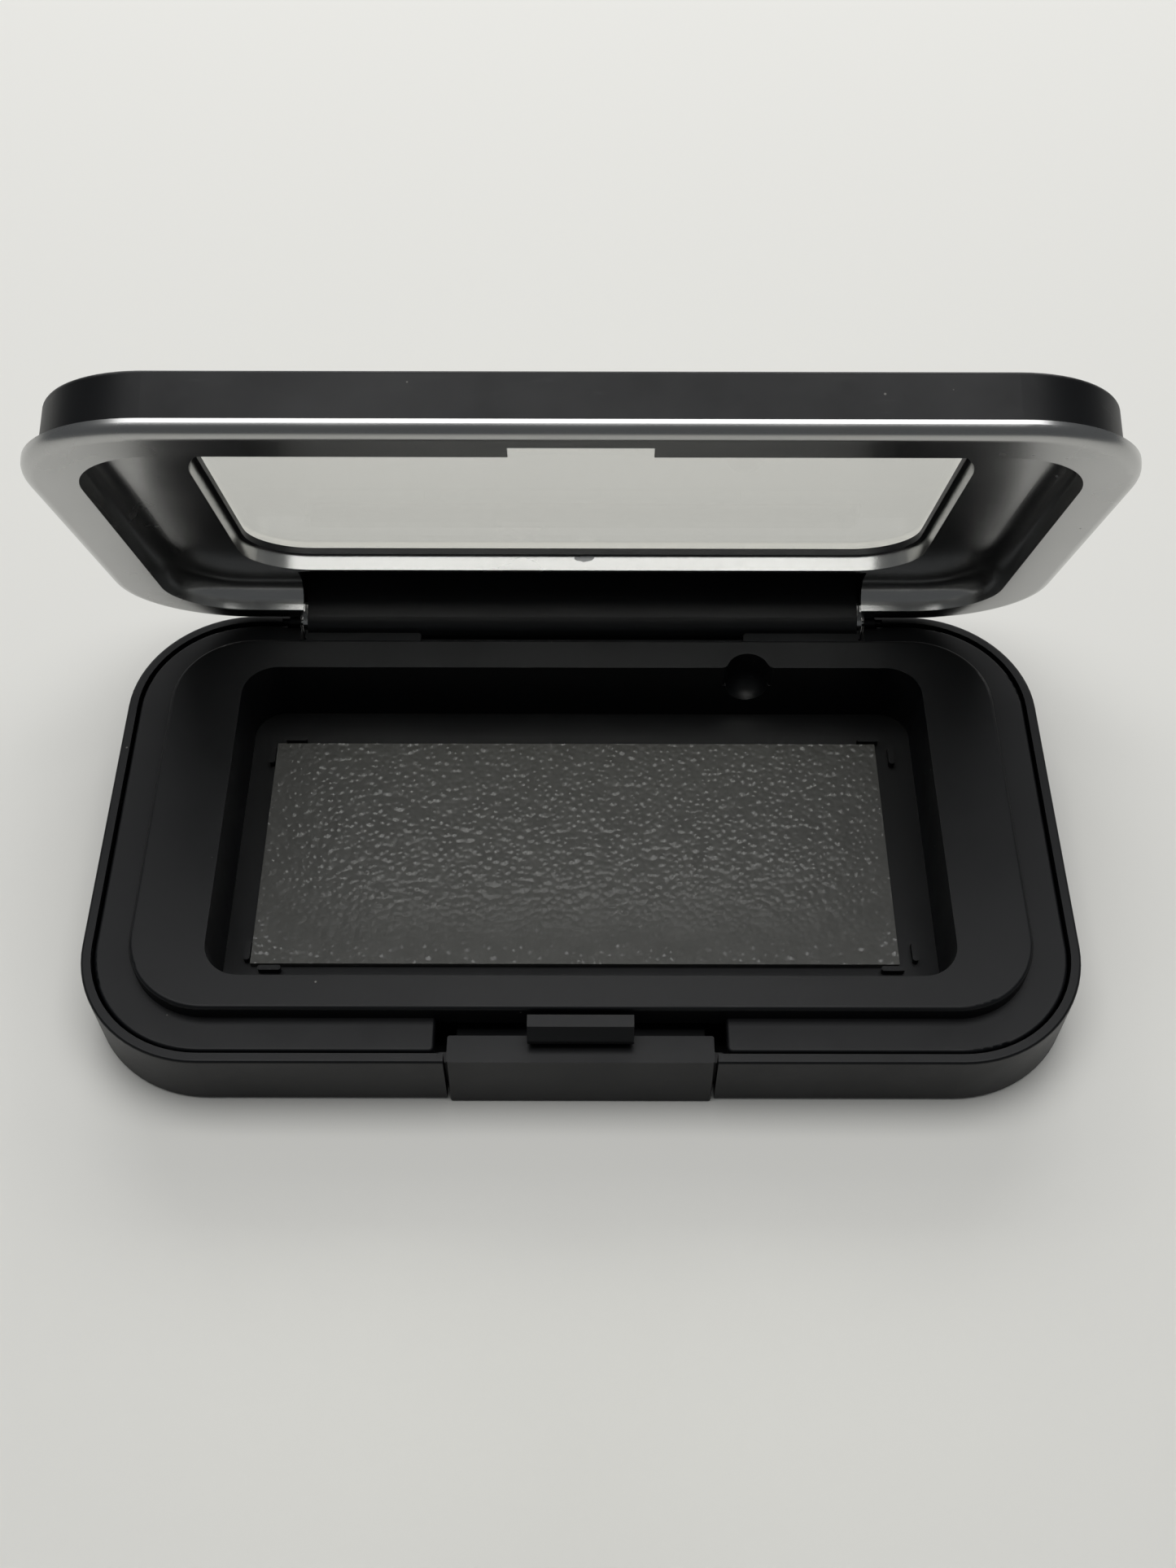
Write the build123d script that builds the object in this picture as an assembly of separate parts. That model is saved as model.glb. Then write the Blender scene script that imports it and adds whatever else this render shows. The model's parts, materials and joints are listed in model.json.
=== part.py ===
from build123d import *
import os

# Powder compact, empty and refillable, with a clear window in its lid.
# Millimetres. X runs along the long side, Y from the button to the hinge, Z up.
# The origin is the centre of the underside of the base.

# ---- driving dimensions ----
LENGTH = 108.0           # outline of base and lid flange, along X
DEPTH = 61.06            # outline of base and lid flange, along Y
CORNER_R = 14.1
RIM_TOP = 8.57           # top of the base shell's wall
WALL = 1.1               # base shell wall
FLOOR = 1.2              # base shell floor
SKIN = 1.0               # wall of the insert

HINGE_Y = 29.65          # hinge axis, parallel to X
HINGE_Z = 8.33
OPEN_ANGLE = 65.0        # the lid is modelled closed and turned open by this angle
LUG_R = 2.5
LUG_X = 33.55            # half length of the lid's hinge lug
TROUGH_R = 2.8
TROUGH_X = 34.6
EAR_X0 = 34.7
EAR_X1 = 36.0
EAR_R = 0.75
PIN_R = 0.4
PIN_X0 = 30.6            # inner end of each hinge pin
PIN_CLEAR = 0.04         # running clearance of the pin in the lug

LEDGE_X = 52.6           # half length of the insert at its low ledge
LEDGE_Y = 29.1
LEDGE_R = 12.7
LEDGE_TOP = 8.35
PLAT_X = 48.6            # raised platform of the insert
PLAT_Y0 = -25.2
PLAT_Y1 = 25.2
PLAT_R = 9.0
PLAT_TOP = 10.38

WELL_X = 40.3            # pan well, sizes at its mouth
WELL_Y0 = -21.2
WELL_Y1 = 20.8
WELL_R = 4.0
WELL_FLOOR = 1.8
WELL_DRAFT = 2.5         # degrees
NOTCH_X = 19.9
NOTCH_R = 2.55
NOTCH_Y = 20.45
NOTCH_BOTTOM = 4.6       # lowest point of the round-ended fingernail notch

SHEET_X0 = -36.9         # magnetic sheet, lies a little to the left
SHEET_X1 = 35.5
SHEET_Y = 15.3
SHEET_T = 0.6
GLUE_T = 0.1

GAP_X = 14.3             # half width of the button gap in the shell
BAY_X = 15.3             # half width of the button bay in the insert
BUTTON_X = 13.95
BUTTON_TOP = 8.4
BUTTON_BACK = -27.3
BUTTON_TRAVEL = 1.05
HOOK_X = 5.55
SPRING_X = 9.5
SPRING_Z = 3.5
SPRING_R = 1.2           # mean coil radius
SPRING_WIRE = 0.17       # wire radius

FLANGE_Z0 = 8.65         # lower face of the liner's flange, lid closed
FLANGE_T = 1.7
FLANGE_ROLL = 1.3        # radius of the rolled outer edge
FLANGE_X = 54.25
FLANGE_Y0 = -30.5
FLANGE_Y1 = 29.6
MOUTH_X = 48.8           # inner edge of the flange
MOUTH_Y0 = -25.4
MOUTH_Y1 = 25.4
MOUTH_R = 9.1
COVE_TOP = 11.95         # lower face of the liner's ceiling
COVE_R = 2.6
LINER_T = 0.8
LIP_NOTCH_X = 6.8        # notch in the front flange for the hook
LIP_NOTCH_Y = -27.7
NOTCH_TOP = 11.8         # top of the recess round the hook
WINDOW_X = 39.3          # window opening in the liner
WINDOW_Y = 19.8
WINDOW_R = 7.5
LINER_TOP = 13.75
CUT_X = 33.8             # the liner is cut away at the back for the hinge lug

SHELL_X = 52.8           # lid shell, at the foot of its skirt
SHELL_Y = 29.0
SHELL_DRAFT = 3.0        # degrees
SHELL_R = 12.5
SHELL_TOP = 15.85
SHELL_WALL = 1.1
PANE_X = 40.6            # window pane
PANE_Y = 21.1
PANE_R = 8.7
SEAT_Z = 14.5
LIP = 0.5                # the shell's lip stands this far inside the liner's window
BOND_T = 0.08


# ---- helpers ----
def slab(x0, x1, y0, y1, r, z0, z1):
    """Upright prism with rounded corners."""
    face = RectangleRounded(x1 - x0, y1 - y0, r)
    return Pos((x0 + x1) / 2, (y0 + y1) / 2, z0) * extrude(face, z1 - z0)


def block(x0, x1, y0, y1, z0, z1):
    """Plain box from its limits."""
    return Pos((x0 + x1) / 2, (y0 + y1) / 2, (z0 + z1) / 2) * Box(x1 - x0, y1 - y0, z1 - z0)


def rod_x(x0, x1, y, z, r):
    """Cylinder along X."""
    return Pos((x0 + x1) / 2, y, z) * Rot(0, 90, 0) * Cylinder(r, x1 - x0)


def rod_y(x, y0, y1, z, r):
    """Cylinder along Y."""
    return Pos(x, (y0 + y1) / 2, z) * Rot(90, 0, 0) * Cylinder(r, y1 - y0)


def profile_x(points, x0, x1):
    """Prism along X from (y, z) points."""
    wire = Polyline(*[(0, y, z) for y, z in points], close=True)
    return Pos(x0, 0, 0) * extrude(make_face(wire), amount=x1 - x0, dir=(1, 0, 0))


def level_edges(shape, z):
    """Edges lying in the horizontal plane at height z."""
    found = shape.edges()
    return found.filter_by(lambda e: abs(e.bounding_box().min.Z - z) < 1e-4
                           and abs(e.bounding_box().max.Z - z) < 1e-4)


def opened(shape):
    """Turn a lid part from closed to its rest position."""
    here = Pos(0, HINGE_Y, HINGE_Z)
    back = Pos(0, -HINGE_Y, -HINGE_Z)
    return here * Rot(-OPEN_ANGLE, 0, 0) * back * shape


# ---- base ----
def make_base_shell():
    """Outer tray with the button gap, the hinge trough and two hinge ears."""
    half_x = LENGTH / 2
    half_y = DEPTH / 2
    body = slab(-half_x, half_x, -half_y, half_y, CORNER_R, 0, RIM_TOP)
    body = fillet(level_edges(body, 0), 0.4)
    body = fillet(level_edges(body, RIM_TOP), 0.3)
    body -= slab(-half_x + WALL, half_x - WALL, -half_y + WALL, half_y - WALL, CORNER_R - WALL,
                 FLOOR, RIM_TOP + 1)
    body -= block(-GAP_X, GAP_X, -half_y - 1, -26.0, -1, RIM_TOP + 1)
    body -= rod_x(-TROUGH_X, TROUGH_X, HINGE_Y, HINGE_Z, TROUGH_R)
    body -= block(-TROUGH_X, TROUGH_X, HINGE_Y - TROUGH_R, half_y + 1, HINGE_Z, HINGE_Z + 4)
    for side in (-1, 1):
        x0, x1 = sorted((side * EAR_X0, side * EAR_X1))
        ear = rod_x(x0, x1, HINGE_Y, HINGE_Z, EAR_R)
        ear += block(x0, x1, HINGE_Y - EAR_R, half_y - 0.2, FLOOR - 0.3, HINGE_Z)
        ear -= block(x0 - 1, x1 + 1, half_y - 0.1, half_y + 3, 0, HINGE_Z + 4)
        body += ear
        body -= rod_x(x0 - 1, x1 + 1, HINGE_Y, HINGE_Z, PIN_R)
    return body


def make_base_insert():
    """Inner tray: ledge, platform, pan well, hinge trough and locating ribs."""
    ledge = slab(-LEDGE_X, LEDGE_X, -LEDGE_Y, LEDGE_Y, LEDGE_R, FLOOR, LEDGE_TOP)
    ledge -= block(-BAY_X, BAY_X, -LEDGE_Y - 2, PLAT_Y0 + 0.8, 0, LEDGE_TOP + 1)
    ledge = fillet(ledge.edges().filter_by(lambda e: is_ledge_end(e)), 0.6)
    ledge = fillet(level_edges(ledge, LEDGE_TOP), 0.35)
    platform = slab(-PLAT_X, PLAT_X, PLAT_Y0, PLAT_Y1, PLAT_R, FLOOR, PLAT_TOP)
    platform = fillet(level_edges(platform, PLAT_TOP), 0.45)
    body = ledge + platform

    hollow = slab(-LEDGE_X + SKIN, LEDGE_X - SKIN, -LEDGE_Y + SKIN, LEDGE_Y - SKIN,
                  LEDGE_R - SKIN, FLOOR - 1, LEDGE_TOP - SKIN)
    hollow += slab(-PLAT_X + SKIN, PLAT_X - SKIN, PLAT_Y0 + SKIN, PLAT_Y1 - SKIN,
                   PLAT_R - SKIN, FLOOR - 1, PLAT_TOP - SKIN)
    hollow -= slab(-WELL_X - SKIN, WELL_X + SKIN, WELL_Y0 - SKIN, WELL_Y1 + SKIN,
                   WELL_R + SKIN, FLOOR - 2, PLAT_TOP)
    hollow -= Pos(NOTCH_X, NOTCH_Y, 7) * Cylinder(NOTCH_R + SKIN, 7)
    hollow -= block(-TROUGH_X - 1, TROUGH_X + 1, PLAT_Y1 - SKIN, LEDGE_Y, 4.9, LEDGE_TOP)
    body -= hollow

    depth = PLAT_TOP - WELL_FLOOR
    mouth = RectangleRounded(2 * WELL_X, WELL_Y1 - WELL_Y0, WELL_R)
    well = extrude(mouth, amount=depth, taper=WELL_DRAFT)
    well = Pos(0, (WELL_Y0 + WELL_Y1) / 2, PLAT_TOP) * Rot(180, 0, 0) * well
    body -= well
    body -= Pos(NOTCH_X, NOTCH_Y, NOTCH_BOTTOM + NOTCH_R + 5) * Cylinder(NOTCH_R, 10)
    corners = body.edges().filter_by(lambda e: is_notch_corner(e))
    body = fillet(corners, 0.9)
    body -= Pos(NOTCH_X, NOTCH_Y, NOTCH_BOTTOM + NOTCH_R) * Sphere(NOTCH_R)

    # bay for the button, open to the front
    body -= block(-BAY_X, BAY_X, -LEDGE_Y - 2, PLAT_Y0, 0, LEDGE_TOP + 1)
    # trough and ear seats for the hinge
    body -= rod_x(-TROUGH_X, TROUGH_X, HINGE_Y, HINGE_Z, TROUGH_R)
    for side in (-1, 1):
        x0, x1 = sorted((side * (EAR_X0 - 0.1), side * (EAR_X1 + 0.3)))
        body -= block(x0, x1, HINGE_Y - EAR_R - 0.25, LEDGE_Y + 1, 0, LEDGE_TOP + 1)
        x0, x1 = sorted((side * 19.6, side * 33.5))
        body += slab(x0, x1, PLAT_Y1 - 0.5, 26.6, 0.4, LEDGE_TOP - 0.4, 9.9)

    for rib in make_ribs():
        body += rib
    return body


def is_notch_corner(edge):
    """True for the two upright edges where the notch meets the back wall of the well."""
    centre = edge.center()
    tall = edge.bounding_box().size.Z > 2
    near = abs(abs(centre.X - NOTCH_X) - NOTCH_R) < 0.3 and abs(centre.Y - WELL_Y1) < 0.5
    return tall and near


def is_ledge_end(edge):
    """True for the upright front edges of the ledge on both sides of the button bay."""
    centre = edge.center()
    tall = edge.bounding_box().size.Z > 2
    return tall and abs(abs(centre.X) - BAY_X) < 0.05 and abs(centre.Y + LEDGE_Y) < 0.05


def make_ribs():
    """Eight short round-ended bars, two at each corner of the magnetic sheet."""
    bars = []
    for sx in (-1, 1):
        for sy in (-1, 1):
            along_y = RectangleRounded(0.7, 2.6, 0.34)
            along_x = RectangleRounded(2.6, 0.6, 0.29)
            bars.append(Pos(sx * 37.35, sy * 13.6, WELL_FLOOR - 0.1) * extrude(along_y, 0.95))
            bars.append(Pos(sx * 34.7, sy * 15.9, WELL_FLOOR - 0.1) * extrude(along_x, 0.95))
    return bars


def make_sheet_adhesive():
    """Thin adhesive layer below the magnetic sheet."""
    return slab(SHEET_X0 + 0.3, SHEET_X1 - 0.3, -SHEET_Y + 0.3, SHEET_Y - 0.3, 0.5,
                WELL_FLOOR, WELL_FLOOR + GLUE_T)


def make_magnetic_sheet():
    """Flat magnetic sheet that holds the powder pans."""
    z0 = WELL_FLOOR + GLUE_T
    return slab(SHEET_X0, SHEET_X1, -SHEET_Y, SHEET_Y, 0.4, z0, z0 + SHEET_T)


def make_hinge_pin(side):
    """Steel pin, pressed into the ear of the base and running in the lug of the lid."""
    x0, x1 = sorted((side * PIN_X0, side * EAR_X1))
    pin = rod_x(x0, x1, HINGE_Y, HINGE_Z, PIN_R)
    return chamfer(pin.edges().filter_by(GeomType.CIRCLE), 0.12)


# ---- button ----
def make_push_button():
    """Button face with its catch hook, side stops, tongue and spring pegs, all one moulding."""
    face = profile_x([(-30.8, 0.2), (-30.4, BUTTON_TOP), (BUTTON_BACK, BUTTON_TOP),
                      (BUTTON_BACK, 0.2)], -BUTTON_X, BUTTON_X)
    face = fillet(face.edges().filter_by(Axis.Z, tolerance=4), 0.25)
    body = face
    hook = [(-27.6, 3.0), (-27.6, 9.25), (-28.7, 9.3), (-28.7, 9.9), (-27.75, 11.3),
            (-26.35, 11.3), (-26.35, 3.0)]
    body += profile_x(hook, -HOOK_X, HOOK_X)
    for side in (-1, 1):
        x0, x1 = sorted((side * (BUTTON_X - 0.5), side * 15.0))
        body += block(x0, x1, -29.2, -28.0, 1.7, 6.0)
        body += rod_y(side * SPRING_X, BUTTON_BACK - 0.2, BUTTON_BACK + 1.1, SPRING_Z, 0.75)
    body += block(-4.5, 4.5, BUTTON_BACK - 0.2, -23.5, 1.45, 2.7)
    body += block(-13.2, 13.2, BUTTON_BACK - 0.2, -24.0, 5.0, 5.6)
    return body


def make_button_spring(side):
    """Small coil spring between the button and the front of the well."""
    y0 = BUTTON_BACK + SPRING_WIRE
    y1 = WELL_Y0 - SKIN - SPRING_WIRE
    turns = 6
    path = Helix(pitch=(y1 - y0) / turns, height=y1 - y0, radius=SPRING_R)
    start = Plane(origin=path @ 0, z_dir=path % 0)
    coil = sweep(start * Circle(SPRING_WIRE), path=path, is_frenet=True)
    return Pos(side * SPRING_X, y0, SPRING_Z) * Rot(-90, 0, 0) * coil


# ---- lid, modelled closed ----
def make_lid_shell():
    """Outer lid moulding: skirt, top plate with the window opening, and the hinge lug."""
    z0 = FLANGE_Z0 + FLANGE_T
    outline = RectangleRounded(2 * SHELL_X, 2 * SHELL_Y, SHELL_R)
    body = Pos(0, 0, z0) * extrude(outline, amount=SHELL_TOP - z0, taper=SHELL_DRAFT)
    body = fillet(level_edges(body, SHELL_TOP), 0.5)
    inner_x = SHELL_X - SHELL_WALL
    inner_y = SHELL_Y - SHELL_WALL
    body -= slab(-inner_x, inner_x, -inner_y, inner_y, SHELL_R - SHELL_WALL,
                 FLANGE_Z0, LINER_TOP)
    body -= block(-LIP_NOTCH_X, LIP_NOTCH_X, -28.6, -26, FLANGE_Z0, NOTCH_TOP)
    body -= slab(-WINDOW_X + LIP, WINDOW_X - LIP, -WINDOW_Y + LIP, WINDOW_Y - LIP,
                 WINDOW_R - LIP, LINER_TOP - 1, SHELL_TOP + 1)
    body -= slab(-PANE_X - 0.1, PANE_X + 0.1, -PANE_Y - 0.1, PANE_Y + 0.1, PANE_R + 0.1,
                 SEAT_Z, SHELL_TOP + 1)
    lug = rod_x(-LUG_X, LUG_X, HINGE_Y, HINGE_Z, LUG_R)
    lug += block(-LUG_X, LUG_X, HINGE_Y - LUG_R, SHELL_Y, HINGE_Z, LINER_TOP + 0.2)
    lug -= block(-LUG_X - 1, LUG_X + 1, DEPTH / 2, DEPTH / 2 + 5, 0, SHELL_TOP)
    lug -= rod_x(-LUG_X + 1, LUG_X - 1, HINGE_Y, HINGE_Z, PIN_R + PIN_CLEAR)
    body += lug
    for side in (-1, 1):
        x0, x1 = sorted((side * (PIN_X0 - 0.5), side * (LUG_X + 1)))
        body -= rod_x(x0, x1, HINGE_Y, HINGE_Z, PIN_R + PIN_CLEAR)
        x0, x1 = sorted((side * (LUG_X + 0.05), side * (EAR_X1 + 0.4)))
        body -= rod_x(x0, x1, HINGE_Y, HINGE_Z, EAR_R + 0.35)
    return body


def make_lid_liner():
    """Satin liner: flat flange, deep cove with a curved edge, and the window frame."""
    z0 = FLANGE_Z0
    z1 = FLANGE_Z0 + FLANGE_T
    flange = slab(-FLANGE_X, FLANGE_X, FLANGE_Y0, FLANGE_Y1, CORNER_R, z0, z1)
    flange = fillet(level_edges(flange, z0), FLANGE_ROLL)
    t = LINER_T
    cup = slab(-MOUTH_X - t, MOUTH_X + t, MOUTH_Y0 - t, MOUTH_Y1 + t, MOUTH_R + t,
               z0 - 2, COVE_TOP + t)
    cup = fillet(level_edges(cup, COVE_TOP + t), COVE_R + t)
    cup -= block(-60, 60, -40, 40, z0 - 3, z0 + 0.5)
    body = flange + cup
    body += slab(-WINDOW_X - t, WINDOW_X + t, -WINDOW_Y - t, WINDOW_Y + t, WINDOW_R + t,
                 COVE_TOP, LINER_TOP)
    body += slab(-51.1, 51.1, -27.6, 27.6, 11.2, z0 + 0.5, z1 + 0.9)
    cove = slab(-MOUTH_X, MOUTH_X, MOUTH_Y0, MOUTH_Y1, MOUTH_R, z0 - 1, COVE_TOP)
    cove = fillet(level_edges(cove, COVE_TOP), COVE_R)
    body -= cove
    body -= slab(-WINDOW_X, WINDOW_X, -WINDOW_Y, WINDOW_Y, WINDOW_R, z0, LINER_TOP + 1)
    body -= block(-LIP_NOTCH_X, LIP_NOTCH_X, LIP_NOTCH_Y, MOUTH_Y0 + 1, z0 - 1, NOTCH_TOP)
    body -= block(-LIP_NOTCH_X, LIP_NOTCH_X, -28.95, MOUTH_Y0 + 1, z0 + 0.5, NOTCH_TOP)
    # the back is cut away for the hinge lug, and closed off by a cheek at each end
    body -= block(-CUT_X, CUT_X, WINDOW_Y + t, FLANGE_Y1 + 1, z0 - 1, LINER_TOP + 1)
    for side in (-1, 1):
        x0, x1 = sorted((side * 33.7, side * 34.3))
        cheek = rod_x(x0, x1, HINGE_Y, HINGE_Z, 1.2)
        cheek += block(x0, x1, 26.0, HINGE_Y, FLANGE_Z0, HINGE_Z + 1.2)
        cheek -= rod_x(x0 - 1, x1 + 1, HINGE_Y, HINGE_Z, PIN_R + 0.15)
        body += cheek
    return body


def make_window_bond():
    """Thin adhesive ring that holds the pane on its seat."""
    ring = slab(-PANE_X + 0.1, PANE_X - 0.1, -PANE_Y + 0.1, PANE_Y - 0.1, PANE_R - 0.1,
                SEAT_Z, SEAT_Z + BOND_T)
    ring -= slab(-WINDOW_X + LIP / 2, WINDOW_X - LIP / 2, -WINDOW_Y + LIP / 2, WINDOW_Y - LIP / 2,
                 WINDOW_R - LIP / 2, SEAT_Z - 1, SEAT_Z + 1)
    return ring


def make_window_pane():
    """Clear pane, flush with the top of the lid."""
    z0 = SEAT_Z + BOND_T
    return slab(-PANE_X, PANE_X, -PANE_Y, PANE_Y, PANE_R, z0, SHELL_TOP - 0.05)


os.makedirs("parts", exist_ok=True)

pieces = {
    "base_shell": make_base_shell(),
    "base_insert": make_base_insert(),
    "sheet_adhesive": make_sheet_adhesive(),
    "magnetic_sheet": make_magnetic_sheet(),
    "hinge_pin_left": make_hinge_pin(-1),
    "hinge_pin_right": make_hinge_pin(1),
    "push_button": make_push_button(),
    "button_spring_left": make_button_spring(-1),
    "button_spring_right": make_button_spring(1),
    "lid_shell": opened(make_lid_shell()),
    "lid_liner": opened(make_lid_liner()),
    "window_bond": opened(make_window_bond()),
    "window_pane": opened(make_window_pane()),
}

for node, shape in pieces.items():
    export_step(shape, "parts/" + node + ".step")
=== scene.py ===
"""Powder compact with a clear window in its lid, dressed around its CAD model."""
import json
import math

import bpy
from mathutils import Matrix, Vector


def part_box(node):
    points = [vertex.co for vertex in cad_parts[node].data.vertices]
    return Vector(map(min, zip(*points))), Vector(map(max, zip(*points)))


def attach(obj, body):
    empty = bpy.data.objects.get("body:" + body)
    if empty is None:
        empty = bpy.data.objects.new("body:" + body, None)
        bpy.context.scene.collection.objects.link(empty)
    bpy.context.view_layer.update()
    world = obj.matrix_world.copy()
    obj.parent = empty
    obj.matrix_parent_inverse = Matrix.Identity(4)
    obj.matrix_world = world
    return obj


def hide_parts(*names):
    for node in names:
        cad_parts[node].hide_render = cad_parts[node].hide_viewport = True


bl_info = {
    "name": "Powder Compact",
    "version": (1, 0, 0),
    "blender": (4, 5, 0),
    "location": "View3D > Sidebar > Compact",
    "description": "Dresses the powder compact and sets up its studio",
    "category": "Object",
}

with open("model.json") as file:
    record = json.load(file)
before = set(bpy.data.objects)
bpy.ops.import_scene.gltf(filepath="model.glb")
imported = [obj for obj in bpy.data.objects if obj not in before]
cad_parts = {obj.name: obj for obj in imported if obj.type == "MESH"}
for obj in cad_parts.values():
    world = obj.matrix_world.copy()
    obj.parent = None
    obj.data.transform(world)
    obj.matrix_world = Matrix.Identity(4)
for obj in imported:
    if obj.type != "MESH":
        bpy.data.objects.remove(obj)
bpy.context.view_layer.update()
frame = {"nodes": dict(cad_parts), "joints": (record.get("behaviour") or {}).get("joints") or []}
NODES = frame["nodes"]
MM = 0.001

LID_JOINT = [j for j in frame["joints"] if j["name"] == "lid_hinge"][0]
HINGE = Vector(LID_JOINT["pos_m"])
OPEN_ANGLE = math.radians(-LID_JOINT["range_deg"][0])   # how far the lid stands open at rest

# a flake missing from the silver, on the back wall of the window frame: place on the closed lid, in mm,
# then half its length and half its height
FLAKE_PLACE = (0.2, 19.8, 13.4)
FLAKE_LENGTH = 2.3
FLAKE_HEIGHT = 0.7
SHEET_BORDER = 0.15 * MM      # flat strip round the embossing
FOLD_PITCH = 3.2              # the broad folds' spacing, in pebbles
FOLD_DEPTH = 0.5              # and their height, as a share of a pebble's

FLOOR_SIZE = 2.4
FLOOR_CENTRE = (0, 0.3, 0)
ROOM_COLOUR = (0.93, 0.97, 1.0, 1)
ROOM_STRENGTH = 0.13
# name, place, point that it faces, length and width, watts
LIGHTS = (("Overhead diffuser", (0.0, 0.15, 0.9), (0, 0.15, 0), (1.0, 0.6), 5.3),
          ("Back window", (0.0, 0.9, 0.4), (0, 0, 0), (1.2, 0.3), 5.6))
CAMERA_PLACE = (0.00064, -0.11271, 0.17354)
CAMERA_LENS = 40.355          # mm, on a sensor 36 mm wide
CAMERA_DOWN = 54.497          # degrees below level
CAMERA_PAN = -0.043
CAMERA_ROLL = 0.144


# ---- small helpers ----
def linear(hex_colour, alpha=1.0):
    """sRGB hex text to the linear colour that shaders want."""
    text = hex_colour.lstrip("#")
    channels = [int(text[i:i + 2], 16) / 255 for i in (0, 2, 4)]
    curve = [c / 12.92 if c <= 0.04045 else ((c + 0.055) / 1.055) ** 2.4 for c in channels]
    return (*curve, alpha)


def per(size_mm):
    """Texture scale that gives features of this size in millimetres."""
    return 1.0 / (size_mm * MM)


def on_lid(x, y, z):
    """A place on the closed lid, in millimetres, as it lies with the lid open at rest."""
    point = Vector((x, y, z)) * MM - HINGE
    return Matrix.Rotation(-OPEN_ANGLE, 3, "X") @ point + HINGE


def fresh_material(name):
    """An empty node material and its tree."""
    material = bpy.data.materials.new(name)
    material.use_nodes = True
    material.node_tree.nodes.clear()
    return material, material.node_tree


def add(tree, kind, settings=None, **links):
    """Adds one node. Settings whose name starts with an underscore are node properties,
    the others are sockets by name or number; links give a socket the output it reads."""
    node = tree.nodes.new(kind)
    for key, value in (settings or {}).items():
        if isinstance(key, str) and key.startswith("_"):
            setattr(node, key[1:], value)
        else:
            node.inputs[key].default_value = value
    for key, source in links.items():
        target = int(key[1:]) if key[0] == "i" and key[1:].isdigit() else key.replace("_", " ")
        tree.links.new(source, node.inputs[target])
    return node


def ramp(tree, source, stops):
    """Colour ramp from (place, grey value or colour) stops."""
    node = add(tree, "ShaderNodeValToRGB", Fac=source)
    points = node.color_ramp.elements
    while len(points) < len(stops):
        points.new(0.5)
    for point, (place, value) in zip(points, stops):
        point.position = place
        point.color = value if isinstance(value, tuple) else (value, value, value, 1)
    return node.outputs["Color"]


def dress(node, material):
    """Gives a CAD node one material in all its slots."""
    mesh = NODES[node].data
    if not mesh.materials:
        mesh.materials.append(material)
    for i in range(len(mesh.materials)):
        mesh.materials[i] = material


def deselect():
    """Nothing selected, so that the next operator acts on its own piece only."""
    if bpy.context.object and bpy.context.object.mode != "OBJECT":
        bpy.ops.object.mode_set(mode="OBJECT")
    bpy.ops.object.select_all(action="DESELECT")


# ---- materials ----
def moulded_black_abs(name, colour, roughness, grain_mm=0.22, dust=0.35, mark_depth=0.5):
    """Injection-moulded black ABS from a spark-eroded mould: a soft satin sheen with an even fine
    grain, broader flow marks and finger haze in the gloss, and a few specks of pale dust."""
    material, tree = fresh_material(name)
    place = add(tree, "ShaderNodeTexCoord").outputs["Object"]
    grain = add(tree, "ShaderNodeTexNoise", {"Scale": per(grain_mm), "Detail": 3.0}, Vector=place)
    haze = add(tree, "ShaderNodeTexNoise", {"Scale": per(13), "Detail": 4.0, "Roughness": 0.6},
               Vector=place)
    rub = add(tree, "ShaderNodeMapping", {"Scale": (1, 6, 1), "Rotation": (0, 0, 0.5)}, Vector=place)
    scuff = add(tree, "ShaderNodeTexNoise", {"Scale": per(4.5), "Detail": 6.0, "Roughness": 0.72},
                Vector=rub.outputs["Vector"])
    rub_mask = ramp(tree, scuff.outputs["Fac"], [(0.60, 0.0), (0.76, 1.0)])
    gloss = add(tree, "ShaderNodeMapRange", {"From Min": 0.3, "From Max": 0.7,
                                             "To Min": roughness - 0.05, "To Max": roughness + 0.07},
                Value=haze.outputs["Fac"])
    worn = add(tree, "ShaderNodeMath", {"_operation": "MULTIPLY_ADD", 1: -0.08},
               i0=rub_mask, i2=gloss.outputs["Result"])
    cells = add(tree, "ShaderNodeTexVoronoi", {"Scale": per(3.1)}, Vector=place)
    near = ramp(tree, cells.outputs["Distance"], [(0.028, 1.0), (0.045, 0.0)])
    chosen = add(tree, "ShaderNodeSeparateColor", Color=cells.outputs["Color"])
    rare = ramp(tree, chosen.outputs["Red"], [(0.80, 0.0), (0.82, dust)])
    speck = add(tree, "ShaderNodeMath", {"_operation": "MULTIPLY"}, i0=near, i1=rare)
    tint = add(tree, "ShaderNodeMix", {"_data_type": "RGBA"}, Factor=haze.outputs["Fac"])
    tint.inputs[6].default_value = linear(colour)
    tint.inputs[7].default_value = tuple(min(1, c * 1.22) for c in linear(colour)[:3]) + (1,)
    dusty = add(tree, "ShaderNodeMix", {"_data_type": "RGBA"}, Factor=speck.outputs["Value"],
                i6=tint.outputs[2])
    dusty.inputs[7].default_value = linear("#B9B7B0")
    height = add(tree, "ShaderNodeMath", {"_operation": "MULTIPLY_ADD", 1: mark_depth},
                 i0=scuff.outputs["Fac"], i2=grain.outputs["Fac"])
    bump = add(tree, "ShaderNodeBump", {"Strength": 0.32, "Distance": 0.012 * MM},
               Height=height.outputs["Value"])
    shader = add(tree, "ShaderNodeBsdfPrincipled", {"IOR": 1.53, "Specular IOR Level": 0.22},
                 Base_Color=dusty.outputs[2],
                 Roughness=worn.outputs["Value"], Normal=bump.outputs["Normal"])
    add(tree, "ShaderNodeOutputMaterial", Surface=shader.outputs["BSDF"])
    return material


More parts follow.
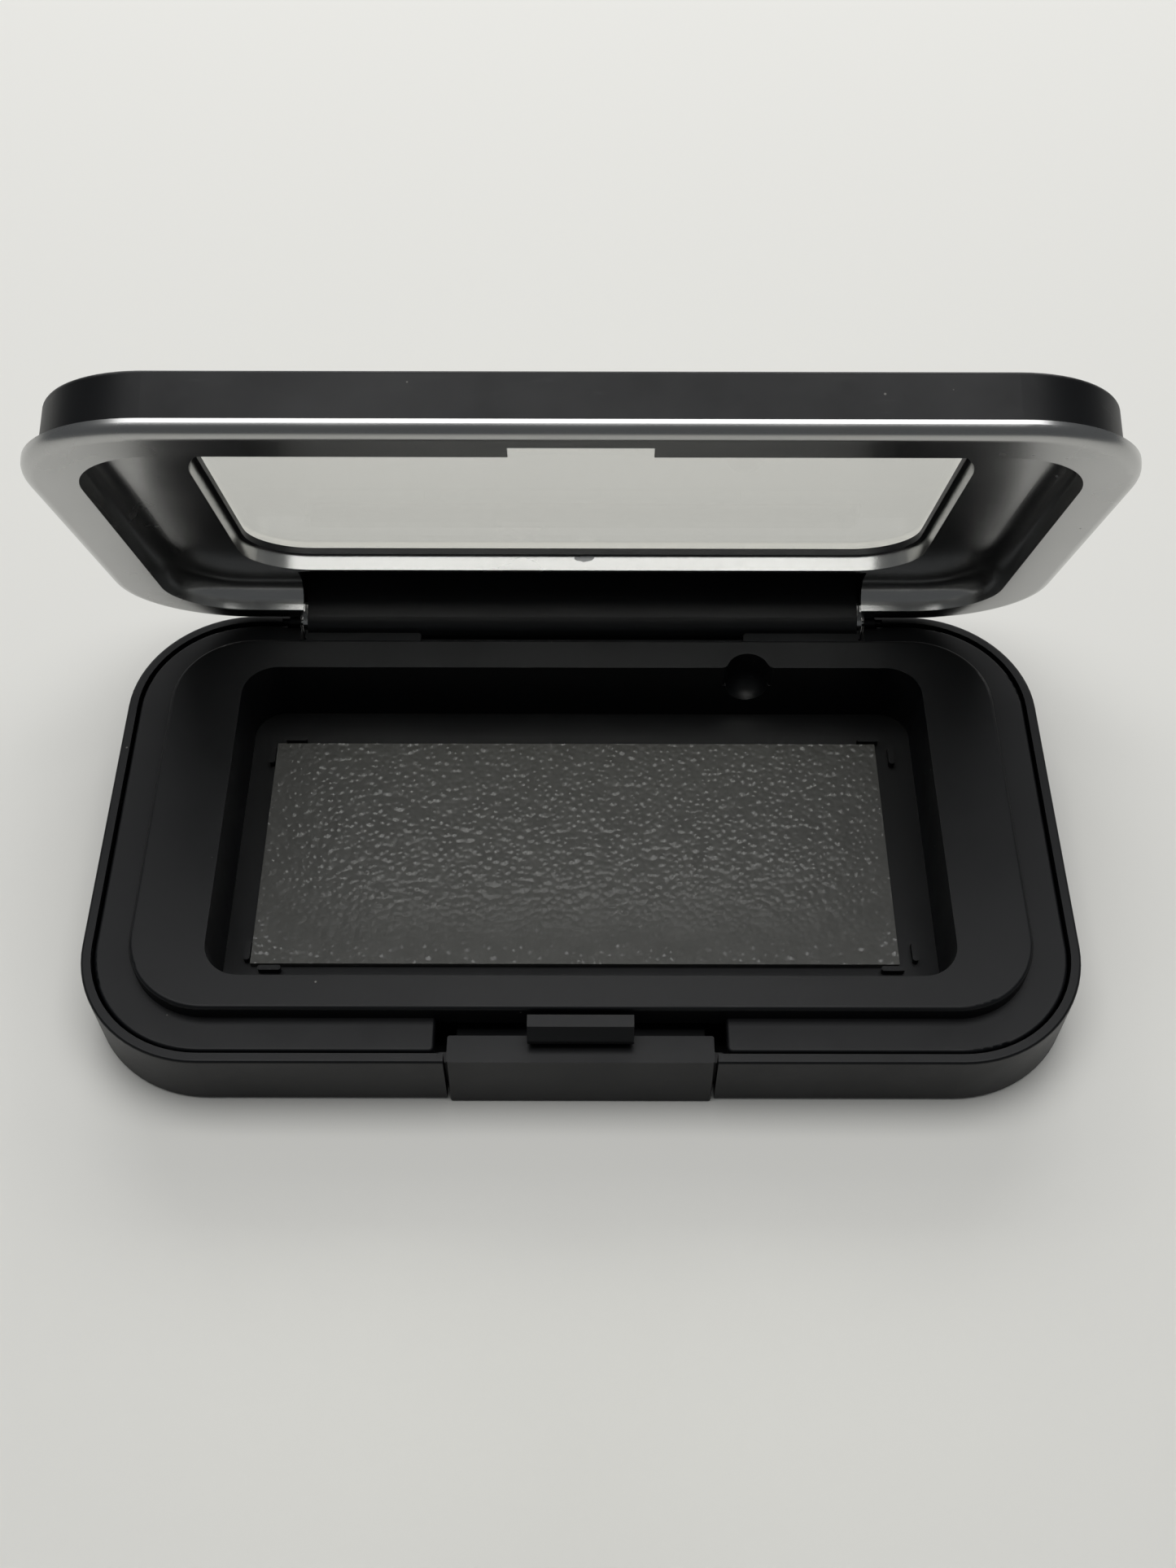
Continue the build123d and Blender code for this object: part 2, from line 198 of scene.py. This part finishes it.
def metallised_satin_silver(name, colour, roughness):
    """Vacuum-metallised ABS under a satin lacquer: reads as soft, unbrushed aluminium, with a fine
    lacquer grain, faint clouding, and a flake missing at the back of the window frame."""
    material, tree = fresh_material(name)
    place = add(tree, "ShaderNodeTexCoord").outputs["Object"]
    grain = add(tree, "ShaderNodeTexNoise", {"Scale": per(0.16), "Detail": 2.0}, Vector=place)
    ripple = add(tree, "ShaderNodeTexNoise", {"Scale": per(2.4), "Detail": 3.0}, Vector=place)
    cloud = add(tree, "ShaderNodeTexNoise", {"Scale": per(16), "Detail": 4.0}, Vector=place)
    gloss = add(tree, "ShaderNodeMapRange", {"From Min": 0.3, "From Max": 0.7,
                                             "To Min": roughness - 0.03, "To Max": roughness + 0.05},
                Value=cloud.outputs["Fac"])
    # the flake: a ragged patch round its place
    spot = on_lid(*FLAKE_PLACE)
    ragged = add(tree, "ShaderNodeTexNoise", {"Scale": per(0.9), "Detail": 4.0}, Vector=place)
    offset = add(tree, "ShaderNodeVectorMath", {"_operation": "SUBTRACT", 1: spot}, i0=place)
    stretch = add(tree, "ShaderNodeVectorMath",
                  {"_operation": "MULTIPLY",
                   1: (per(FLAKE_LENGTH), per(FLAKE_HEIGHT), per(FLAKE_HEIGHT))},
                  i0=offset.outputs["Vector"])
    reach = add(tree, "ShaderNodeVectorMath", {"_operation": "LENGTH"}, i0=stretch.outputs["Vector"])
    edge = add(tree, "ShaderNodeMath", {"_operation": "MULTIPLY_ADD", 1: 0.9},
               i0=ragged.outputs["Fac"], i2=reach.outputs["Value"])
    flake = ramp(tree, edge.outputs["Value"], [(0.0, 1.0), (0.98, 1.0), (1.0, 0.0)])
    nicks = add(tree, "ShaderNodeTexVoronoi", {"Scale": per(5.3)}, Vector=place)
    nick_near = ramp(tree, nicks.outputs["Distance"], [(0.022, 1.0), (0.034, 0.0)])
    nick_pick = add(tree, "ShaderNodeSeparateColor", Color=nicks.outputs["Color"])
    nick_rare = ramp(tree, nick_pick.outputs["Green"], [(0.72, 0.0), (0.74, 0.8)])
    nick = add(tree, "ShaderNodeMath", {"_operation": "MULTIPLY"}, i0=nick_near, i1=nick_rare)
    bare = add(tree, "ShaderNodeMath", {"_operation": "MAXIMUM"}, i0=flake, i1=nick.outputs["Value"])
    tint = add(tree, "ShaderNodeMix", {"_data_type": "RGBA"}, Factor=cloud.outputs["Fac"])
    tint.inputs[6].default_value = linear(colour)
    tint.inputs[7].default_value = tuple(c * 0.92 for c in linear(colour)[:3]) + (1,)
    base = add(tree, "ShaderNodeMix", {"_data_type": "RGBA"}, Factor=bare.outputs["Value"],
               i6=tint.outputs[2])
    base.inputs[7].default_value = linear("#7C7E80")
    metal = add(tree, "ShaderNodeMath", {"_operation": "SUBTRACT", 0: 1.0}, i1=bare.outputs["Value"])
    height = add(tree, "ShaderNodeMath", {"_operation": "MULTIPLY_ADD", 1: 0.35},
                 i0=grain.outputs["Fac"], i2=ripple.outputs["Fac"])
    bump = add(tree, "ShaderNodeBump", {"Strength": 0.16, "Distance": 0.012 * MM},
               Height=height.outputs["Value"])
    shader = add(tree, "ShaderNodeBsdfPrincipled", {"Coat Weight": 0.12, "Coat Roughness": 0.12},
                 Base_Color=base.outputs[2], Metallic=metal.outputs["Value"],
                 Roughness=gloss.outputs["Result"], Normal=bump.outputs["Normal"])
    add(tree, "ShaderNodeOutputMaterial", Surface=shader.outputs["BSDF"])
    return material


def clear_acrylic(name, haze):
    """Moulded clear acrylic sheet: see-through and glossy, a touch greyer than the air beside it, with
    faint wiping marks."""
    material, tree = fresh_material(name)
    place = add(tree, "ShaderNodeTexCoord").outputs["Object"]
    wipe = add(tree, "ShaderNodeMapping", {"Scale": (1, 3.5, 1), "Rotation": (0, 0, 0.4)}, Vector=place)
    marks = add(tree, "ShaderNodeTexNoise", {"Scale": per(9), "Detail": 5.0, "Roughness": 0.65},
                Vector=wipe.outputs["Vector"])
    gloss = add(tree, "ShaderNodeMapRange", {"From Min": 0.35, "From Max": 0.7,
                                             "To Min": 0.01, "To Max": haze},
                Value=marks.outputs["Fac"])
    shader = add(tree, "ShaderNodeBsdfPrincipled", {"Base Color": linear("#F4F4F1"), "IOR": 1.49,
                                                    "Transmission Weight": 1.0},
                 Roughness=gloss.outputs["Result"])
    # light that falls through the sheet goes straight on, as it does through a thin window
    passing = add(tree, "ShaderNodeBsdfTransparent", {"Color": linear("#F0F0EC")})
    ray = add(tree, "ShaderNodeLightPath")
    pane = add(tree, "ShaderNodeMixShader", i0=ray.outputs["Is Shadow Ray"],
               i1=shader.outputs["BSDF"], i2=passing.outputs["BSDF"])
    add(tree, "ShaderNodeOutputMaterial", Surface=pane.outputs["Shader"])
    return material


def magnet_vinyl(name, colour, roughness):
    """Flexible magnet faced with embossed vinyl: dark grey, half glossy, its pebbles sparkle."""
    material, tree = fresh_material(name)
    place = add(tree, "ShaderNodeTexCoord").outputs["Object"]
    pebbles = add(tree, "ShaderNodeTexVoronoi", {"_feature": "SMOOTH_F1", "Scale": per(0.75),
                                                 "Smoothness": 0.6}, Vector=place)
    mottle = add(tree, "ShaderNodeTexNoise", {"Scale": per(2.5), "Detail": 3.0}, Vector=place)
    tint = add(tree, "ShaderNodeMix", {"_data_type": "RGBA"}, Factor=mottle.outputs["Fac"])
    tint.inputs[6].default_value = linear(colour)
    tint.inputs[7].default_value = tuple(c * 1.15 for c in linear(colour)[:3]) + (1,)
    gloss = add(tree, "ShaderNodeMapRange", {"From Min": 0.3, "From Max": 0.7,
                                             "To Min": roughness - 0.04, "To Max": roughness + 0.06},
                Value=mottle.outputs["Fac"])
    bump = add(tree, "ShaderNodeBump", {"Strength": 1.0, "Distance": 0.095 * MM, "_invert": True},
               Height=pebbles.outputs["Distance"])
    shader = add(tree, "ShaderNodeBsdfPrincipled", {"IOR": 1.52}, Base_Color=tint.outputs[2],
                 Roughness=gloss.outputs["Result"], Normal=bump.outputs["Normal"])
    add(tree, "ShaderNodeOutputMaterial", Surface=shader.outputs["BSDF"])
    return material


def drawn_steel(name, colour, roughness):
    """Drawn steel wire: bright, with fine lines along its length."""
    material, tree = fresh_material(name)
    place = add(tree, "ShaderNodeTexCoord").outputs["Object"]
    along = add(tree, "ShaderNodeMapping", {"Scale": (0.1, 1, 1)}, Vector=place)
    lines = add(tree, "ShaderNodeTexNoise", {"Scale": per(0.08), "Detail": 2.0},
                Vector=along.outputs["Vector"])
    gloss = add(tree, "ShaderNodeMapRange", {"To Min": roughness - 0.06, "To Max": roughness + 0.06},
                Value=lines.outputs["Fac"])
    bump = add(tree, "ShaderNodeBump", {"Strength": 0.2, "Distance": 0.006 * MM},
               Height=lines.outputs["Fac"])
    shader = add(tree, "ShaderNodeBsdfPrincipled", {"Base Color": linear(colour), "Metallic": 1.0},
                 Roughness=gloss.outputs["Result"], Normal=bump.outputs["Normal"])
    add(tree, "ShaderNodeOutputMaterial", Surface=shader.outputs["BSDF"])
    return material


def transfer_adhesive(name, colour):
    """Thin transfer adhesive: milky, slightly uneven, tacky sheen."""
    material, tree = fresh_material(name)
    place = add(tree, "ShaderNodeTexCoord").outputs["Object"]
    uneven = add(tree, "ShaderNodeTexNoise", {"Scale": per(1.8), "Detail": 3.0}, Vector=place)
    shade = ramp(tree, uneven.outputs["Fac"], [(0.3, linear(colour)), (0.7, linear("#D5D1C6"))])
    bump = add(tree, "ShaderNodeBump", {"Strength": 0.3, "Distance": 0.02 * MM},
               Height=uneven.outputs["Fac"])
    shader = add(tree, "ShaderNodeBsdfPrincipled", {"Roughness": 0.4}, Base_Color=shade,
                 Normal=bump.outputs["Normal"])
    add(tree, "ShaderNodeOutputMaterial", Surface=shader.outputs["BSDF"])
    return material


def matt_paper(name, colour):
    """Matt white paper sheet under the object: flat and slightly warm, with a faint tooth."""
    material, tree = fresh_material(name)
    place = add(tree, "ShaderNodeTexCoord").outputs["Object"]
    tooth = add(tree, "ShaderNodeTexNoise", {"Scale": per(0.7), "Detail": 3.0}, Vector=place)
    bump = add(tree, "ShaderNodeBump", {"Strength": 0.06, "Distance": 0.02 * MM},
               Height=tooth.outputs["Fac"])
    shader = add(tree, "ShaderNodeBsdfPrincipled", {"Base Color": linear(colour), "Roughness": 0.75,
                                                    "Specular IOR Level": 0.25},
                 Normal=bump.outputs["Normal"])
    add(tree, "ShaderNodeOutputMaterial", Surface=shader.outputs["BSDF"])
    return material


# ---- what a user may change ----
class CompactSizes(bpy.types.PropertyGroup):
    """Sizes of the modelled details."""
    emboss_depth: bpy.props.FloatProperty(
        name="Emboss depth", description="Height of the pebbles on the magnetic sheet",
        default=0.025 * MM, min=0.0, max=0.2 * MM, unit="LENGTH", precision=6)
    emboss_pitch: bpy.props.FloatProperty(
        name="Emboss pitch", description="Spacing of the pebbles on the magnetic sheet",
        default=0.8 * MM, min=0.2 * MM, max=3 * MM, unit="LENGTH", precision=6)
    sheet_step: bpy.props.FloatProperty(
        name="Sheet mesh step", description="Size of one face of the embossed sheet",
        default=0.2 * MM, min=0.1 * MM, max=2 * MM, unit="LENGTH", precision=6)


class CompactColours(bpy.types.PropertyGroup):
    """Colours as sRGB hex text."""
    case: bpy.props.StringProperty(name="Case", description="Black of the base and lid mouldings",
                                   default="#0B0C0E")
    insert: bpy.props.StringProperty(name="Insert", description="Black of the inner tray",
                                     default="#0C0D0F")
    button: bpy.props.StringProperty(name="Button", description="Black of the push button",
                                     default="#0C0D0F")
    silver: bpy.props.StringProperty(name="Liner", description="Silver of the lid liner",
                                     default="#B9B9B8")
    magnet: bpy.props.StringProperty(name="Magnetic sheet", description="Grey of the magnetic sheet",
                                     default="#4D4D4B")
    floor: bpy.props.StringProperty(name="Paper", description="White of the paper below",
                                    default="#EDECE7")


# ---- operators ----
class COMPACT_OT_base(bpy.types.Operator):
    """Dress the base shell and the inner tray"""
    bl_idname = "compact.base"
    bl_label = "Base"

    def execute(self, context):
        colours = context.scene.compact_colours
        dress("base_shell", moulded_black_abs("ABS moulded satin black case", colours.case, 0.40))
        dress("base_insert", moulded_black_abs("ABS moulded satin black tray", colours.insert, 0.42))
        return {"FINISHED"}


class COMPACT_OT_magnet_sheet(bpy.types.Operator):
    """Model the embossed magnetic sheet and its adhesive"""
    bl_idname = "compact.magnet_sheet"
    bl_label = "Magnetic sheet"

    def execute(self, context):
        sizes = context.scene.compact_sizes
        colours = context.scene.compact_colours
        low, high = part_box("magnetic_sheet")
        size = high - low
        deselect()
        bpy.ops.mesh.primitive_grid_add(
            x_subdivisions=round(size.x / sizes.sheet_step),
            y_subdivisions=round(size.y / sizes.sheet_step), size=1,
            location=((low.x + high.x) / 2, (low.y + high.y) / 2, high.z - sizes.emboss_depth))
        sheet = bpy.context.object
        sheet.name = "magnet_sheet_embossed"
        sheet.scale = (size.x, size.y, 1)
        bpy.ops.object.transform_apply(location=True, rotation=True, scale=True)
        group = sheet.vertex_groups.new(name="face")
        inner = [v.index for v in sheet.data.vertices
                 if min(v.co.x - low.x, high.x - v.co.x, v.co.y - low.y, high.y - v.co.y)
                 > SHEET_BORDER]
        group.add(inner, 1.0, "REPLACE")
        for name, pitch, depth in (
                ("pebbles", sizes.emboss_pitch, sizes.emboss_depth),
                ("folds", sizes.emboss_pitch * FOLD_PITCH, sizes.emboss_depth * FOLD_DEPTH)):
            pattern = bpy.data.textures.new(name, "CLOUDS")
            pattern.noise_scale = pitch
            pattern.noise_depth = 1
            pattern.noise_basis = "BLENDER_ORIGINAL"
            relief = sheet.modifiers.new(name, "DISPLACE")
            relief.texture = pattern
            relief.texture_coords = "LOCAL"
            relief.strength = depth
            relief.mid_level = 0.6
            relief.vertex_group = "face"
            bpy.ops.object.modifier_apply(modifier=name)
        bpy.ops.object.mode_set(mode="EDIT")
        bpy.ops.mesh.select_mode(type="EDGE")
        bpy.ops.mesh.select_all(action="DESELECT")
        bpy.ops.mesh.select_non_manifold()
        bpy.ops.mesh.extrude_region_move(
            TRANSFORM_OT_translate={"value": (0, 0, low.z - high.z + sizes.emboss_depth)})
        bpy.ops.mesh.edge_face_add()
        bpy.ops.mesh.select_all(action="SELECT")
        bpy.ops.mesh.normals_make_consistent(inside=False)
        bpy.ops.object.mode_set(mode="OBJECT")
        bpy.ops.object.shade_smooth_by_angle(angle=math.radians(50))
        sheet.data.materials.append(magnet_vinyl("Vinyl-faced flexible magnet", colours.magnet, 0.15))
        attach(sheet, "base")
        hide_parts("magnetic_sheet")
        dress("sheet_adhesive", transfer_adhesive("Acrylic transfer adhesive under sheet", "#A9A597"))
        return {"FINISHED"}


class COMPACT_OT_button(bpy.types.Operator):
    """Dress the push button and its springs"""
    bl_idname = "compact.button"
    bl_label = "Push button"

    def execute(self, context):
        colours = context.scene.compact_colours
        dress("push_button", moulded_black_abs("ABS moulded satin black button", colours.button, 0.38))
        spring = drawn_steel("Steel spring wire", "#B9BBBC", 0.28)
        for side in ("left", "right"):
            dress("button_spring_" + side, spring)
        return {"FINISHED"}


class COMPACT_OT_hinge(bpy.types.Operator):
    """Dress the hinge pins"""
    bl_idname = "compact.hinge"
    bl_label = "Hinge pins"

    def execute(self, context):
        pin = drawn_steel("Steel hinge pin", "#C4C4C2", 0.25)
        for side in ("left", "right"):
            dress("hinge_pin_" + side, pin)
        return {"FINISHED"}


class COMPACT_OT_lid(bpy.types.Operator):
    """Dress the lid shell and its silver liner"""
    bl_idname = "compact.lid"
    bl_label = "Lid"

    def execute(self, context):
        colours = context.scene.compact_colours
        dress("lid_shell", moulded_black_abs("ABS moulded satin black lid", colours.case, 0.41))
        dress("lid_liner", metallised_satin_silver("ABS metallised satin silver", colours.silver, 0.24))
        return {"FINISHED"}


class COMPACT_OT_window(bpy.types.Operator):
    """Dress the clear window and its bond"""
    bl_idname = "compact.window"
    bl_label = "Window"

    def execute(self, context):
        dress("window_pane", clear_acrylic("Acrylic clear sheet", 0.06))
        dress("window_bond", transfer_adhesive("Acrylic transfer adhesive round pane", "#C2BFB4"))
        return {"FINISHED"}


class COMPACT_OT_studio(bpy.types.Operator):
    """Lay the paper floor, the lights and the camera"""
    bl_idname = "compact.studio"
    bl_label = "Studio"

    def execute(self, context):
        deselect()
        bpy.ops.mesh.primitive_plane_add(size=FLOOR_SIZE, location=FLOOR_CENTRE)
        floor = bpy.context.object
        floor.name = "paper_floor"
        bpy.ops.object.transform_apply(location=True, rotation=True, scale=True)
        floor.data.materials.append(matt_paper("Paper matt white", context.scene.compact_colours.floor))
        world = bpy.data.worlds.new("Soft room")
        bpy.context.scene.world = world
        world.use_nodes = True
        room = world.node_tree.nodes["Background"].inputs
        room["Color"].default_value = ROOM_COLOUR
        room["Strength"].default_value = ROOM_STRENGTH
        for name, place, aim, size, power in LIGHTS:
            lamp = bpy.data.lights.new(name, "AREA")
            lamp.shape = "RECTANGLE"
            lamp.size, lamp.size_y = size
            lamp.energy = power
            holder = bpy.data.objects.new(name, lamp)
            holder.location = place
            holder.rotation_euler = (Vector(aim) - Vector(place)).to_track_quat("-Z", "Y").to_euler()
            bpy.context.scene.collection.objects.link(holder)
        self.set_camera()
        bpy.context.scene.view_settings.view_transform = "Standard"
        return {"FINISHED"}

    def set_camera(self):
        """A phone held above the front edge, looking down at the open compact."""
        camera = bpy.data.cameras.new("Camera")
        camera.lens = CAMERA_LENS
        camera.sensor_width = 36.0
        camera.clip_start = 0.01
        holder = bpy.data.objects.new("Camera", camera)
        turn = (Matrix.Rotation(math.radians(CAMERA_PAN), 4, "Z")
                @ Matrix.Rotation(math.radians(90 - CAMERA_DOWN), 4, "X")
                @ Matrix.Rotation(math.radians(CAMERA_ROLL), 4, "Z"))
        holder.matrix_world = Matrix.Translation(CAMERA_PLACE) @ turn
        bpy.context.scene.collection.objects.link(holder)
        bpy.context.scene.camera = holder


class COMPACT_PT_panel(bpy.types.Panel):
    """Sidebar panel with the compact's steps and settings"""
    bl_idname = "COMPACT_PT_panel"
    bl_label = "Powder compact"
    bl_space_type = "VIEW_3D"
    bl_region_type = "UI"
    bl_category = "Compact"

    def draw(self, context):
        for operator in STEPS:
            self.layout.operator(operator.bl_idname)
        for group in (context.scene.compact_sizes, context.scene.compact_colours):
            for name in type(group).__annotations__:
                self.layout.prop(group, name)


STEPS = (COMPACT_OT_base, COMPACT_OT_magnet_sheet, COMPACT_OT_button, COMPACT_OT_hinge,
         COMPACT_OT_lid, COMPACT_OT_window, COMPACT_OT_studio)
CLASSES = (CompactSizes, CompactColours) + STEPS + (COMPACT_PT_panel,)


def register():
    """Registers the classes and hangs the settings on the scene."""
    for item in CLASSES:
        bpy.utils.register_class(item)
    bpy.types.Scene.compact_sizes = bpy.props.PointerProperty(type=CompactSizes)
    bpy.types.Scene.compact_colours = bpy.props.PointerProperty(type=CompactColours)


def unregister():
    """Takes the settings and classes away again."""
    del bpy.types.Scene.compact_colours
    del bpy.types.Scene.compact_sizes
    for item in reversed(CLASSES):
        bpy.utils.unregister_class(item)


def main():
    register()
    for operator in STEPS:
        group, name = operator.bl_idname.split(".")
        getattr(getattr(bpy.ops, group), name)()
    bpy.context.view_layer.update()


if __name__ == "__main__":
    main()
